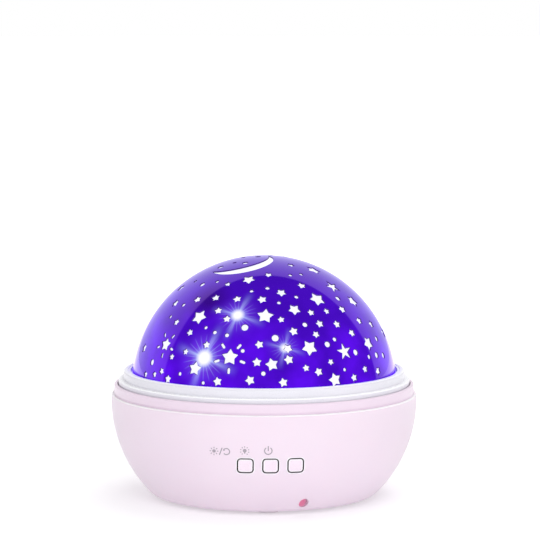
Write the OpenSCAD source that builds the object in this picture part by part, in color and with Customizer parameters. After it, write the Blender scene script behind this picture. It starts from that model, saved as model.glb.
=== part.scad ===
// Star night light projector. A pink bowl holds cells, a control board and a slow gear motor.
// The motor turns a white dish, and the dish carries a dome with star windows that lifts off.
// Millimetres, +Z up, origin on the table under the middle of the bowl, buttons towards -Y.

/* [Bowl] */
// Outer radius of the bowl where its side stands upright
bowl_r = 62; // [61:0.5:64]
// Radius of the curve of the bowl's side
side_curve_r = 54; // [52:1:57]
// Height at which the side stands upright
side_curve_z = 40; // [39:0.5:42]
// Height of the bowl's rim
rim_z = 42.2; // [42:0.1:43]
// Height of the underside above the table
underside_z = 1; // [0.8:0.1:1.2]
// Wall and floor thickness of the bowl
bowl_wall = 1.8; // [1.6:0.1:2]
// Radius of the rounding between side and underside
base_round = 6; // [5:0.5:7]

/* [Top frame] */
// How far the trim ring stands in from the bowl's side
ring_inset = 1.2; // [0.8:0.1:1.4]
// Height of the trim ring above the rim
ring_h = 4.1; // [3.8:0.1:4.4]
// Wall of the trim ring
ring_wall = 1.3; // [1.2:0.1:1.4]
// Wall of the skirt inside the rim
skirt_wall = 1.5; // [1.3:0.1:1.8]
// Depth of the deck's top below the rim
deck_drop = 4.2; // [4:0.1:4.5]
// Thickness of the deck
deck_t = 2; // [1.8:0.1:2.4]

/* [Turntable] */
// Running gap between the trim ring and the turntable
run_gap = 0.4; // [0.3:0.05:0.6]
// Height of the turntable's top above the trim ring
table_show = 1.9; // [1.6:0.1:2.2]
// Thickness of the dish's plates
table_t = 1.8; // [1.6:0.1:2]
// Width of the dish's ledge, from its edge to the inside of its riser
ledge_w = 11.4; // [11:0.1:12.5]
// Outer radius of the hub
hub_r = 14; // [13.5:0.1:14.5]
// Height of the hub
hub_h = 6; // [5.5:0.1:6.5]
// Radius of the journal that the hub turns on
journal_r = 10; // [9.5:0.1:10.2]
// Radial clearance of running fits
fit = 0.05; // [0.03:0.01:0.08]
// Thickness of the thrust washer
washer_t = 0.9; // [0.8:0.1:1]

/* [Drive] */
// Gear module
gear_module = 0.8; // [0.76:0.01:0.84]
// Teeth of the ring gear
ring_teeth = 72; // [72]
// Teeth of the pinion
pinion_teeth = 12; // [12]
// Face width of the gears
gear_face = 3; // [2.5:0.1:3.2]
// Outer radius of the ring gear
ring_gear_r = 34; // [33.5:0.1:34.5]
// Radius of the motor's can
motor_r = 11; // [10:0.5:12]
// Height of the motor's can
motor_h = 12; // [10:0.5:13]
// Radius of the motor shaft
shaft_r = 1.5; // [1.4:0.1:1.6]

/* [Dome] */
// How far the dome stands in from the collar's edge
dome_inset = 3.1; // [2.8:0.1:3.4]
// Thickness of the mirror skin
skin_t = 0.4; // [0.3:0.05:0.5]
// Thickness of the clear dome inside it
cover_t = 1.5; // [1.2:0.1:1.8]
// How far the dome collar stands in from the dish's edge
collar_inset = 2.1; // [1.8:0.1:2.4]
// Height of the dome collar
collar_h = 3.7; // [3.4:0.1:4]
// Depth of the sphere's centre below the collar's top
dome_sink = 7.9; // [7.4:0.1:8.4]

/* [Buttons] */
// Height of the button centres
button_z = 22; // [21:0.5:23]
// Distance between button centres
button_pitch = 9.8; // [9.4:0.1:10.4]
// Width of a button cap
button_w = 5.6; // [5.4:0.1:6]
// Height of a button cap
button_tall = 5.3; // [5.1:0.1:5.6]
// Corner radius of a button cap
button_corner = 1.1; // [0.8:0.1:1.3]
// Gap round a button cap
button_gap = 0.5; // [0.4:0.05:0.6]
// Travel of a button
button_travel = 0.6; // [0.4:0.1:0.7]
// Thickness of the bowl's side round the buttons
guide_depth = 5.7; // [5.4:0.1:6]
// Distance of the control board behind the button guide
board_gap = 7.2; // [7:0.1:7.6]
// Thickness of a circuit board
board_t = 1.6; // [1.2:0.1:1.8]

/* [Power] */
// Radius of an AAA cell
cell_r = 5.25; // [5.1:0.05:5.3]
// Length of an AAA cell with its nub
cell_len = 44.5; // [44:0.1:44.6]
// Distance between the axes of neighbouring cells
cell_pitch = 10.7; // [10.65:0.05:10.8]
// Inner length of the battery bay
bay_len = 52.4; // [52:0.1:53]
// Inner height of the battery bay above the floor
bay_h = 11.6; // [11.5:0.1:12]
// Wall of the battery bay
bay_wall = 1.8; // [1.5:0.1:2]
// Direction of the power inlet, turned from the front
inlet_turn = 16; // [14:1:20]
// Height of the power inlet's axis
inlet_z = 5.1; // [5.1:0.1:5.4]
// Bore radius of the power inlet
inlet_r = 1.75; // [1.7:0.05:1.8]

/* [Fasteners] */
// Shank radius of the case, motor and board screws
screw_r = 1.25; // [1.2:0.05:1.3]
// Head radius of those screws
head_r = 2.3; // [2.2:0.1:2.4]
// Head height of those screws
head_h = 1.5; // [1.4:0.1:1.6]
// Radius of a screw column
column_r = 3.3; // [3.2:0.1:3.5]

/* [Hidden] */
$fn = 96;
overlap = 1;   // how far a cutter reaches past what it cuts
big = 80;      // larger than any radius of the object
touch = 0.05;  // gap between faces that meet
edge = 0.35;   // chamfer of the outer edges
pink = [0.95, 0.88, 0.94];
white = [0.95, 0.95, 0.98];
metal = [0.78, 0.78, 0.8];
board_green = [0.1, 0.42, 0.25];

// Bowl: the side's curve and the rounding that runs into it
side_x = bowl_r - side_curve_r;
round_z = underside_z + base_round;
round_x = side_x + sqrt(pow(side_curve_r - base_round, 2) - pow(side_curve_z - round_z, 2));
floor_z = underside_z + bowl_wall;
function bowl_radius(z, inset = 0) =
    side_x + sqrt(pow(side_curve_r - inset, 2) - pow(side_curve_z - z, 2));

// Heights, from the deck up
deck_z = rim_z - deck_drop;
deck_low = deck_z - deck_t;
skirt_r = bowl_radius(deck_low, bowl_wall) - 0.25;
ring_top = rim_z + ring_h;
ring_r = bowl_r - ring_inset;
table_r = ring_r - ring_wall - run_gap;
riser_r = table_r - ledge_w;
collar_r = table_r - collar_inset;
dome_r = collar_r - dome_inset;
table_low = rim_z + 0.3;
table_top = ring_top + table_show;
collar_top = table_top + collar_h;
dome_z = collar_top - dome_sink;
cover_r = dome_r - skin_t - touch;
cover_in = cover_r - cover_t;

// Lamp post, hub and what holds the hub down
flange_t = 2;
post_bore = 6;
hub_low = deck_z + flange_t + washer_t + 0.1;
hub_top = hub_low + hub_h;
neck_r = journal_r - 1.5;
cap_t = 1.4;
post_top = hub_top + 5;
lamp_board_r = 12;
lamp_wire_y = 4;
bead_r = 2.5;
bead_h = 4;
bead_foot_r = 2.9;
bead_at = 8.4;
post_screw_at = 8;
post_screw_r = 1;
post_screw_len = 8;

// Drive
pressure = 20;
backlash = 0.06;
ring_pitch_r = gear_module * ring_teeth / 2;
pinion_pitch_r = gear_module * pinion_teeth / 2;
motor_y = ring_pitch_r - pinion_pitch_r;
ring_tip_r = ring_pitch_r - 0.6 * gear_module;
ring_root_r = ring_pitch_r + 1.25 * gear_module;
pinion_tip_r = pinion_pitch_r + 0.85 * gear_module;
pinion_root_r = pinion_pitch_r - 1.25 * gear_module;
gear_screw_at = (ring_root_r + ring_gear_r) / 2;
motor_top = deck_low - 0.1;
motor_boss_r = 4;
ear_t = 1.5;
ear_drop = 2.5;
ear_at = motor_r + 4;
ear_w = 6;
ear_boss_r = 2.6;

// Dome collar and its lugs
lug_r = collar_r - 0.7;
lug_t = 1;
lug_drop = 2.3;
lug_angle = 12;
lug_play = 0.25;
rebate_h = 1.3;
rebate_r = collar_r - 1.35;
collar_bore = dome_r + 0.25;

// Buttons, inside the bowl
guide_y = bowl_radius(button_z) - guide_depth;
board_y = guide_y - board_gap;
guide_half_w = 17;
guide_half_h = 5;
flange_lip = 1.2;
button_flange = 1.2;
switch_r = 1.75;
switch_h = 3.5;
switch_w = 6;
switch_back = 1.55;
board_w = 46;
board_h = 18;
board_screw_x = 20;
board_post_r = 2.6;
board_screw_len = 6.5;
plug_x0 = 8;
plug_x1 = 16;
plug_z = 4.25;
plug_h = 4.5;
plug_t = 5;

// Battery bay and door
cells = 4;
bay_w = cells * cell_pitch + 0.6;
bay_top = floor_z + bay_h;
cell_z = bay_top - cell_r - 0.3;
contact_t = 0.5;
door_w = bay_w + 2;
door_len = bay_len + 2;
door_gap = 0.3;
door_t = bowl_wall - 0.1;
hinge_y = door_w / 2 - door_gap - door_t / 2;
hinge_z = underside_z + door_t / 2;
pin_r = 0.5;
pin_len = 1.2;
clip_w = 10;
clip_t = 1.2;
clip_h = 2.2;
clip_gap = 0.4;
notch_r = 6;
notch_deep = 0.6;
spring_wire = 0.35;
spring_r = 2.6;
wire_r = 0.7;

// Screws of the case, and the feet
column_x = bay_len / 2 + bay_wall + column_r + 2.7;
column_y = 14;
column_top = 16;
case_head_z = 12;
case_screw_len = 12;
foot_r = 4;
foot_at = round_x - foot_r - 1.36;
foot_sink = 0.5;

// ---- shapes that several pieces share ----

// Half outline of the bowl, drawn in by inset, between two heights
module bowl_outline(inset, low, high) {
    reach = side_curve_r - inset;
    seam_x = side_x + reach * (round_x - side_x) / (side_curve_r - base_round);
    seam_z = side_curve_z - reach * (side_curve_z - round_z) / (side_curve_r - base_round);
    intersection() {
        union() {
            intersection() {
                translate([side_x, side_curve_z]) circle(reach);
                translate([0, seam_z]) square([big, big]);
            }
            intersection() {
                translate([round_x, round_z]) circle(base_round - inset);
                translate([round_x, underside_z + inset]) square([big, seam_z - underside_z - inset]);
            }
            translate([0, underside_z + inset]) square([round_x, seam_z - underside_z - inset]);
        }
        translate([0, low]) square([big, high - low]);
    }
}

module bowl_body(inset, low, high) {
    rotate_extrude() bowl_outline(inset, low, high);
}

module tube(r_out, r_in, low, high) {
    translate([0, 0, low]) difference() {
        cylinder(h = high - low, r = r_out);
        translate([0, 0, -overlap]) cylinder(h = high - low + 2 * overlap, r = r_in);
    }
}

// Tube with a chamfer on its outer top edge
module edged_tube(r_out, r_in, low, high) {
    rotate_extrude() polygon([[r_in, low], [r_out, low], [r_out, high - edge], [r_out - edge, high],
        [r_in, high]]);
}

module block(x0, x1, y0, y1, z0, z1) {
    translate([x0, y0, z0]) cube([x1 - x0, y1 - y0, z1 - z0]);
}

// Upright rounded rectangle
module rounded_rect(w, h, r) {
    square([w - 2 * r, h], center = true);
    square([w, h - 2 * r], center = true);
    for (x = [-1, 1], y = [-1, 1]) translate([x * (w / 2 - r), y * (h / 2 - r)]) circle(r);
}

// Prism along Y from y0 to y1 over a button's place
module button_prism(x, w, h, r, y0, y1) {
    translate([x, y1, button_z]) rotate([90, 0, 0]) linear_extrude(y1 - y0) rounded_rect(w, h, r);
}

// Screw with a pan head: head below, shank up +Z from the origin
module screw(shank, len, head, head_t) {
    cylinder(h = len, r = shank);
    translate([0, 0, -head_t]) difference() {
        cylinder(h = head_t, r = head);
        block(-0.3, 0.3, -head * 0.7, head * 0.7, -overlap, head_t / 2);
        block(-head * 0.7, head * 0.7, -0.3, 0.3, -overlap, head_t / 2);
    }
}

// Outline of an outside gear; play is added to each side of a tooth
function roll(a) = tan(a) * 180 / PI - a;
function gear_base(teeth) = gear_module * teeth / 2 * cos(pressure);
function half_tooth(teeth, r, play) = 90 / teeth + roll(pressure)
    - roll(acos(min(1, gear_base(teeth) / r))) + play / r * 180 / PI;
function flank(teeth, low, high) = let (start = max(low, gear_base(teeth)))
    [for (i = [0 : 3]) start + (high - start) * i / 3];
function tooth(teeth, low, high, play, at) = let (
    radii = flank(teeth, low, high),
    foot = half_tooth(teeth, radii[0], play),
    up = [for (r = radii) r * [cos(at - half_tooth(teeth, r, play)), sin(at - half_tooth(teeth, r, play))]],
    down = [for (i = [3 : -1 : 0]) radii[i] * [cos(at + half_tooth(teeth, radii[i], play)),
        sin(at + half_tooth(teeth, radii[i], play))]],
    under = low < radii[0] - 0.01)
    concat(under ? [low * [cos(at - foot), sin(at - foot)]] : [], up, down,
        under ? [low * [cos(at + foot), sin(at + foot)]] : []);
module gear_shape(teeth, low, high, play, turn) {
    polygon([for (i = [0 : teeth - 1]) each tooth(teeth, low, high, play, turn + i * 360 / teeth)]);
}

// Tube swept along a list of points, one ring of corners at each. No stretch of it runs along `across`.
module swept_tube(points, r, sides, across) {
    count = len(points) - 1;
    sections = [for (k = [0 : count]) let (
            ahead = points[min(k + 1, count)] - points[max(k - 1, 0)],
            along = ahead / norm(ahead),
            side = cross(along, across),
            out = side / norm(side),
            up = cross(along, out))
        [for (i = [0 : sides - 1]) points[k] + r * (cos(i * 360 / sides) * out + sin(i * 360 / sides) * up)]];
    corners = [for (ring = sections, p = ring) p];
    last = count * sides;
    walls = [for (k = [0 : count - 1], i = [0 : sides - 1], half = [0, 1]) let (
            a = k * sides + i,
            b = k * sides + (i + 1) % sides)
        half == 0 ? [a, a + sides, b] : [b, a + sides, b + sides]];
    ends = [for (i = [1 : sides - 2]) each [[0, i, i + 1], [last, last + i + 1, last + i]]];
    polyhedron(corners, concat(walls, ends));
}

// Smooth curve through a wire's chosen points, leaving and arriving no harder than the span between them
function unit(v) = v / norm(v);
function glide(a, b, c, d, t) =
    let (span = norm(c - b), leave = span * unit(c - a), arrive = span * unit(d - b))
    (1 - 3 * t * t + 2 * t * t * t) * b + (3 * t * t - 2 * t * t * t) * c
    + (t - 2 * t * t + t * t * t) * leave + (t * t * t - t * t) * arrive;
function smooth(points, steps) = let (n = len(points) - 1)
    [for (i = [0 : n - 1], k = [0 : steps - 1]) glide(points[max(i - 1, 0)], points[i], points[i + 1],
        points[min(i + 2, n)], k / steps), points[n]];
module wire(points) {
    swept_tube(smooth(points, 3), wire_r, 6, [1, 0, 0]);
}

// ---- the base ----

module inlet_place() {
    rotate([0, 0, inlet_turn]) translate([0, 0, inlet_z]) rotate([90, 0, 0]) children();
}

jack_face = bowl_radius(inlet_z) - 3.2;
jack_len = 10;
jack_mouth = 4;
jack_r = inlet_z - floor_z - 0.1;

// What stands inside the bowl as part of its moulding
module bowl_inserts() {
    block(-guide_half_w, guide_half_w, -big, -guide_y, button_z - guide_half_h, button_z + guide_half_h);
    for (x = [-board_screw_x, board_screw_x])
        translate([x, -board_y, button_z]) rotate([90, 0, 0]) cylinder(h = big, r = board_post_r);
    for (x = [-column_x, column_x], y = [-column_y, column_y])
        translate([x, y, 0]) cylinder(h = column_top, r = column_r);
    block(-bay_len / 2 - bay_wall, bay_len / 2 + bay_wall, -bay_w / 2 - bay_wall,
        bay_w / 2 + bay_wall, 0, bay_top + bay_wall);
    rotate([0, 0, inlet_turn]) block(-jack_r - 1.3, jack_r + 1.3, -round_x + 0.8, -jack_face + jack_len, 0,
        inlet_z + jack_r - 0.4);
}

module bowl_shell() {
    color(pink) difference() {
        bowl_body(0, underside_z, rim_z);
        difference() {
            bowl_body(bowl_wall, floor_z, rim_z + overlap);
            bowl_inserts();
        }
        // chamfer of the rim
        rotate_extrude() translate([bowl_radius(rim_z), rim_z]) polygon([[-2 * edge, edge], [edge, edge],
            [edge, -2 * edge]]);
        // battery bay, open below
        block(-bay_len / 2, bay_len / 2, -bay_w / 2, bay_w / 2, underside_z - overlap, bay_top);
        block(-door_len / 2 - door_gap, door_len / 2 + door_gap, -door_w / 2 - door_gap,
            door_w / 2, underside_z - overlap, floor_z);
        // holes of the door's hinge pins
        translate([-door_len / 2 - door_gap - pin_len - 0.2, hinge_y, hinge_z]) rotate([0, 90, 0])
            cylinder(h = door_len + 2 * (door_gap + pin_len + 0.2), r = pin_r + fit);
        // button holes
        for (i = [-1 : 1]) button_prism(i * button_pitch, button_w + 2 * button_gap,
            button_tall + 2 * button_gap, button_corner + button_gap, -big, -guide_y + overlap);
        // pilot holes of the board screws
        for (x = [-board_screw_x, board_screw_x])
            translate([x, -board_y + overlap, button_z]) rotate([90, 0, 0])
                cylinder(h = board_screw_len + overlap, r = screw_r + fit);
        // case screws
        for (x = [-column_x, column_x], y = [-column_y, column_y]) translate([x, y, 0]) {
            cylinder(h = case_head_z, r = head_r + 0.4);
            cylinder(h = column_top + overlap, r = screw_r + 0.2);
        }
        // jack seat and inlet
        inlet_place() translate([0, 0, jack_face - jack_len - 2.5])
            cylinder(h = jack_len + 2.5, r = jack_r + fit);
        inlet_place() translate([0, 0, jack_face - jack_mouth]) cylinder(h = big, r = inlet_r + 0.2);
        // feet
        for (a = [0 : 90 : 270]) rotate([0, 0, a]) translate([foot_at, 0, 0])
            cylinder(h = underside_z + foot_sink, r = foot_r + 0.1);
    }
}

module top_frame() {
    color(pink) difference() {
        union() {
            edged_tube(ring_r, ring_r - ring_wall, rim_z, ring_top);
            tube(max(ring_r, skirt_r), min(ring_r - ring_wall, skirt_r - skirt_wall), rim_z, rim_z + 0.1);
            tube(skirt_r, skirt_r - skirt_wall, deck_low, rim_z + 0.1);
            translate([0, 0, deck_low]) cylinder(h = deck_t, r = skirt_r - skirt_wall / 2);
            for (x = [-column_x, column_x], y = [-column_y, column_y])
                translate([x, y, column_top]) cylinder(h = deck_z - column_top, r = column_r);
            for (x = [-ear_at, ear_at]) translate([x, motor_y, deck_low - ear_drop])
                cylinder(h = ear_drop + deck_t / 2, r = ear_boss_r);
        }
        translate([0, 0, deck_low - overlap]) cylinder(h = deck_t + 2 * overlap, r = post_bore);
        translate([0, motor_y, deck_low - overlap])
            cylinder(h = deck_t + 2 * overlap, r = motor_boss_r + 0.3);
        for (x = [-column_x, column_x], y = [-column_y, column_y])
            translate([x, y, column_top - overlap]) cylinder(h = case_screw_len, r = screw_r + fit);
        for (x = [-ear_at, ear_at]) translate([x, motor_y, deck_low - ear_drop - overlap])
            cylinder(h = ear_drop + deck_t / 2 + overlap, r = screw_r + fit);
        for (a = [30 : 120 : 270]) rotate([0, 0, a]) translate([post_screw_at, 0, deck_low - overlap])
            cylinder(h = deck_t + 2 * overlap, r = post_screw_r + 0.1);
    }
}

module lamp_post() {
    color(white) difference() {
        union() {
            translate([0, 0, deck_z]) cylinder(h = flange_t, r = hub_r);
            translate([0, 0, deck_z]) cylinder(h = hub_top + 0.1 - deck_z, r = journal_r);
            translate([0, 0, deck_z]) cylinder(h = post_top - deck_z, r = neck_r);
        }
        translate([0, 0, deck_z - overlap]) cylinder(h = post_top - deck_z + 2 * overlap, r = post_bore);
        for (a = [30 : 120 : 270]) rotate([0, 0, a]) translate([post_screw_at, 0, deck_z - overlap])
            cylinder(h = post_screw_len, r = post_screw_r + fit);
    }
}

module thrust_washer() {
    color(metal) tube(hub_r - 0.3, journal_r + 0.1, deck_z + flange_t, deck_z + flange_t + washer_t);
}

module post_cap() {
    color(white) tube(hub_r - 1, neck_r + 0.02, hub_top + 0.1, hub_top + 0.1 + cap_t);
}

module led_board() {
    color("white") difference() {
        translate([0, 0, post_top]) cylinder(h = board_t, r = lamp_board_r);
        translate([0, lamp_wire_y, post_top - overlap]) cylinder(h = board_t + 2 * overlap, r = wire_r + 0.5);
    }
}

module lamp_bead(x, y) {
    translate([x, y, post_top + board_t]) {
        cylinder(h = 1, r = bead_foot_r);
        cylinder(h = bead_h, r = bead_r);
        translate([0, 0, bead_h]) sphere(bead_r);
    }
}

module leds() {
    color([0.95, 0.95, 0.8]) {
        lamp_bead(0, 0);
        for (a = [45 : 90 : 315]) lamp_bead(bead_at * cos(a), bead_at * sin(a));
    }
}

module gear_motor() {
    color(metal) difference() {
        union() {
            translate([0, motor_y, motor_top - motor_h]) cylinder(h = motor_h, r = motor_r);
            translate([0, motor_y, motor_top - 1])
                cylinder(h = deck_z + 0.4 - motor_top + 1, r = motor_boss_r);
            translate([0, motor_y, deck_low - ear_drop - ear_t]) linear_extrude(ear_t) {
                square([2 * ear_at, ear_w], center = true);
                for (x = [-ear_at, ear_at]) translate([x, 0]) circle(ear_w / 2);
            }
        }
        translate([0, motor_y, deck_low - 6]) cylinder(h = 20, r = shaft_r + fit);
        for (x = [-ear_at, ear_at]) translate([x, motor_y, deck_low - ear_drop - ear_t - overlap])
            cylinder(h = ear_t + 2 * overlap, r = screw_r + 0.1);
    }
}

module motor_screws() {
    color(metal) for (x = [-ear_at, ear_at])
        translate([x, motor_y, deck_low - ear_drop - ear_t]) screw(screw_r, ear_t + ear_drop, head_r, head_h);
}

module post_screws() {
    color(metal) for (a = [30 : 120 : 270]) rotate([0, 0, a])
        translate([post_screw_at, 0, deck_low]) screw(post_screw_r, post_screw_len, 1.9, 1.2);
}

module control_board() {
    color(board_green) difference() {
        block(-board_w / 2, board_w / 2, -board_y, -board_y + board_t, button_z - board_h / 2,
            button_z + board_h / 2);
        for (x = [-board_screw_x, board_screw_x])
            translate([x, -board_y + board_t + overlap, button_z]) rotate([90, 0, 0])
                cylinder(h = board_t + 2 * overlap, r = screw_r + 0.1);
    }
}

module board_parts() {
    back = -board_y + board_t;
    color([0.15, 0.15, 0.16]) {
        block(-5, 5, back, back + 1.6, button_z - 2, button_z + 2);
        for (x = [-4 : 2 : 4], side = [-1, 1]) translate([x, back + 0.2, button_z + side * 2.9])
            cube([0.5, 0.4, 1.8], center = true);
        translate([11, back, button_z - 3]) rotate([-90, 0, 0]) cylinder(h = 7, r = 2.5);
        for (x = [-plug_x1, plug_x0]) block(x, x + plug_x1 - plug_x0, back, back + plug_t,
            button_z + plug_z - plug_h / 2, button_z + plug_z + plug_h / 2);
    }
}

module board_screws() {
    color(metal) for (x = [-board_screw_x, board_screw_x])
        translate([x, -board_y + board_t, button_z]) rotate([90, 0, 0])
            screw(screw_r, board_screw_len, head_r, head_h);
}

module tact_switches() {
    color([0.2, 0.2, 0.22]) for (i = [-1 : 1]) difference() {
        block(i * button_pitch - switch_w / 2, i * button_pitch + switch_w / 2, -board_y - switch_h, -board_y,
            button_z - switch_w / 2, button_z + switch_w / 2);
        translate([i * button_pitch, -board_y - 1, button_z]) rotate([90, 0, 0])
            cylinder(h = switch_h, r = switch_r + fit);
    }
}

module dc_jack() {
    color([0.12, 0.12, 0.13]) inlet_place() {
        difference() {
            translate([0, 0, jack_face - jack_len]) cylinder(h = jack_len, r = jack_r);
            translate([0, 0, jack_face - jack_len + 1.5]) cylinder(h = jack_len, r = inlet_r - 0.2);
            translate([0, 0, jack_face - jack_mouth]) cylinder(h = jack_mouth + overlap, r = inlet_r);
        }
        translate([0, 0, jack_face - jack_len + 1]) cylinder(h = jack_len - jack_mouth - 1.1, r = 0.5);
        for (x = [-1, 1]) translate([x * 1.2, 0, jack_face - jack_len - 1.5])
            cube([0.4, 1.6, 4], center = true);
    }
}

// Row number to its place across the bay, and the end where its nub is
function row_y(i) = (i - (cells - 1) / 2) * cell_pitch;
function row_way(i) = i % 2 == 0 ? 1 : -1;
nub_h = 1.2;
cell_tip = bay_len / 2 - contact_t - 0.05;

module batteries() {
    color([0.75, 0.72, 0.55]) for (i = [0 : cells - 1])
        translate([0, row_y(i), cell_z]) rotate([0, row_way(i) * 90, 0]) {
            translate([0, 0, cell_tip - cell_len]) cylinder(h = cell_len - nub_h, r = cell_r);
            translate([0, 0, cell_tip - nub_h - 0.1]) cylinder(h = nub_h + 0.1, r = 1.9);
        }
}

module battery_contacts() {
    color(metal) for (i = [0 : cells - 1], end = [-1, 1])
        translate([end * (bay_len / 2 - contact_t / 2), row_y(i), cell_z])
            cube([contact_t, cell_pitch - 1.5, 9], center = true);
}

// One coil spring from the contact plate to the flat end of its cell, as one swept tube
spring_turns = 4.5;
spring_rings = 12;
spring_sides = 6;
spring_len = bay_len - 2 * contact_t - cell_len - 0.1 - 2 * spring_wire;
function spring_at(t) = let (r = spring_r + 1.4 * (1 - t), a = 360 * spring_turns * t)
    [r * cos(a), r * sin(a), spring_wire + spring_len * t];
module coil_spring() {
    count = spring_turns * spring_rings;
    swept_tube([for (k = [0 : count]) spring_at(k / count)], spring_wire, spring_sides, [0, 0, 1]);
}

module battery_springs() {
    color(metal) for (i = [0 : cells - 1])
        translate([-row_way(i) * (bay_len / 2 - contact_t), row_y(i), cell_z])
            rotate([0, row_way(i) * 90, 0]) coil_spring();
}

// Each wire leaves its plug square to it, and the last two end at the lamp board and the motor
module wiring() {
    plug_y = -board_y + board_t + plug_t + touch;
    roof = bay_top + bay_wall + wire_r + 0.3;
    lead = button_z + plug_z;
    color([0.8, 0.15, 0.15]) wire([[-12, plug_y, lead], [-12, plug_y + 1, lead], [-12, plug_y + 2, lead],
        [-14, plug_y + 9, bay_top + 5], [-14, plug_y + 15, roof], [-14, -10, roof]]);
    color([0.9, 0.9, 0.9]) wire([[10, plug_y, lead], [10, plug_y + 1, lead], [10, plug_y + 2, lead],
        [5, -14, 25], [2, -3, 28], [1, 0, 36], [1, 2, hub_low + 5], [0, lamp_wire_y, post_top - 4],
        [0, lamp_wire_y, post_top + board_t / 2]]);
    color([0.15, 0.15, 0.8]) wire([[14, plug_y, lead], [14, plug_y + 1, lead], [14, plug_y + 2, lead],
        [14, -8, 24], [8, 4, 27], [0, motor_y - motor_r - 3, 29],
        [0, motor_y - motor_r - touch, 29]]);
}

module case_screws() {
    color(metal) for (x = [-column_x, column_x], y = [-column_y, column_y])
        translate([x, y, case_head_z]) screw(screw_r, case_screw_len, head_r, head_h);
}

module rubber_feet() {
    color([0.85, 0.85, 0.85]) for (a = [0 : 90 : 270]) rotate([0, 0, a])
        translate([foot_at, 0, 0]) cylinder(h = underside_z + foot_sink, r = foot_r);
}

// ---- the turntable ----

module lug_sector(r_out, r_in, low, high, angle) {
    for (a = [90, 210, 330]) rotate([0, 0, a - angle / 2]) rotate_extrude(angle = angle)
        translate([r_in, low]) square([r_out - r_in, high - low]);
}

module turntable() {
    color(white) difference() {
        union() {
            edged_tube(table_r, table_r - table_t, table_low, table_top);
            edged_tube(table_r, riser_r, table_top - table_t, table_top);
            tube(riser_r + table_t, riser_r, table_low, table_top);
            translate([0, 0, table_low]) cylinder(h = table_t, r = riser_r + table_t);
            translate([0, 0, hub_low]) cylinder(h = hub_h, r = hub_r);
        }
        translate([0, 0, hub_low - overlap]) cylinder(h = hub_h + 2 * overlap, r = journal_r + fit);
        lug_sector(lug_r + lug_play, lug_r - lug_t - lug_play, table_top - table_t - overlap,
            table_top + overlap, lug_angle + 1);
        for (a = [90 : 120 : 330]) rotate([0, 0, a]) translate([gear_screw_at, 0, table_low - overlap])
            cylinder(h = table_t + 2 * overlap, r = post_screw_r + 0.1);
    }
}

module ring_gear() {
    color([0.95, 0.94, 0.88]) difference() {
        translate([0, 0, table_low - gear_face]) cylinder(h = gear_face, r = ring_gear_r);
        translate([0, 0, table_low - gear_face - overlap]) linear_extrude(gear_face + 2 * overlap)
            gear_shape(ring_teeth, ring_tip_r, ring_root_r, backlash, 90);
        for (a = [90 : 120 : 330]) rotate([0, 0, a])
            translate([gear_screw_at, 0, table_low - gear_face - overlap])
                cylinder(h = gear_face + 2 * overlap, r = post_screw_r + fit);
    }
}

module gear_screws() {
    color(metal) for (a = [90 : 120 : 330]) rotate([0, 0, a])
        translate([gear_screw_at, 0, table_low + table_t]) rotate([180, 0, 0])
            screw(post_screw_r, table_t + gear_face - 0.4, 1.8, 1.1);
}

module drive_pinion() {
    color([0.95, 0.94, 0.88]) translate([0, motor_y, table_low - gear_face - 0.3]) difference() {
        linear_extrude(gear_face) gear_shape(pinion_teeth, pinion_root_r, pinion_tip_r, -backlash, 90);
        translate([0, 0, -overlap]) cylinder(h = gear_face + 2 * overlap, r = shaft_r + 0.01);
    }
}

module motor_shaft() {
    color(metal) translate([0, motor_y, deck_low - 5.5])
        cylinder(h = table_low - 0.5 - deck_low + 5.5, r = shaft_r);
}

// ---- the dome ----

module dome_collar() {
    color(white) union() {
        rotate_extrude() difference() {
            polygon([[collar_bore, table_top], [collar_r, table_top], [collar_r, collar_top - 0.8],
                [collar_r - 0.25, collar_top - 0.25], [collar_r - 0.8, collar_top],
                [collar_bore + 1, collar_top], [collar_bore + 0.8, collar_top - 0.3],
                [collar_bore, collar_top - 0.3]]);
            translate([0, table_top - overlap]) square([rebate_r, rebate_h + overlap]);
        }
        lug_sector(lug_r, lug_r - lug_t, table_top - lug_drop, table_top + 0.2, lug_angle);
    }
}

module dome_cover() {
    color([0.9, 0.92, 1, 0.5]) union() {
        difference() {
            intersection() {
                translate([0, 0, dome_z]) sphere(cover_r);
                translate([0, 0, table_top + touch]) cylinder(h = big, r = big);
            }
            translate([0, 0, dome_z]) sphere(cover_in);
        }
        tube(lug_r - lug_t - 0.2, cover_in + 0.4, table_top + touch, table_top + rebate_h - 0.1);
    }
}

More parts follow.
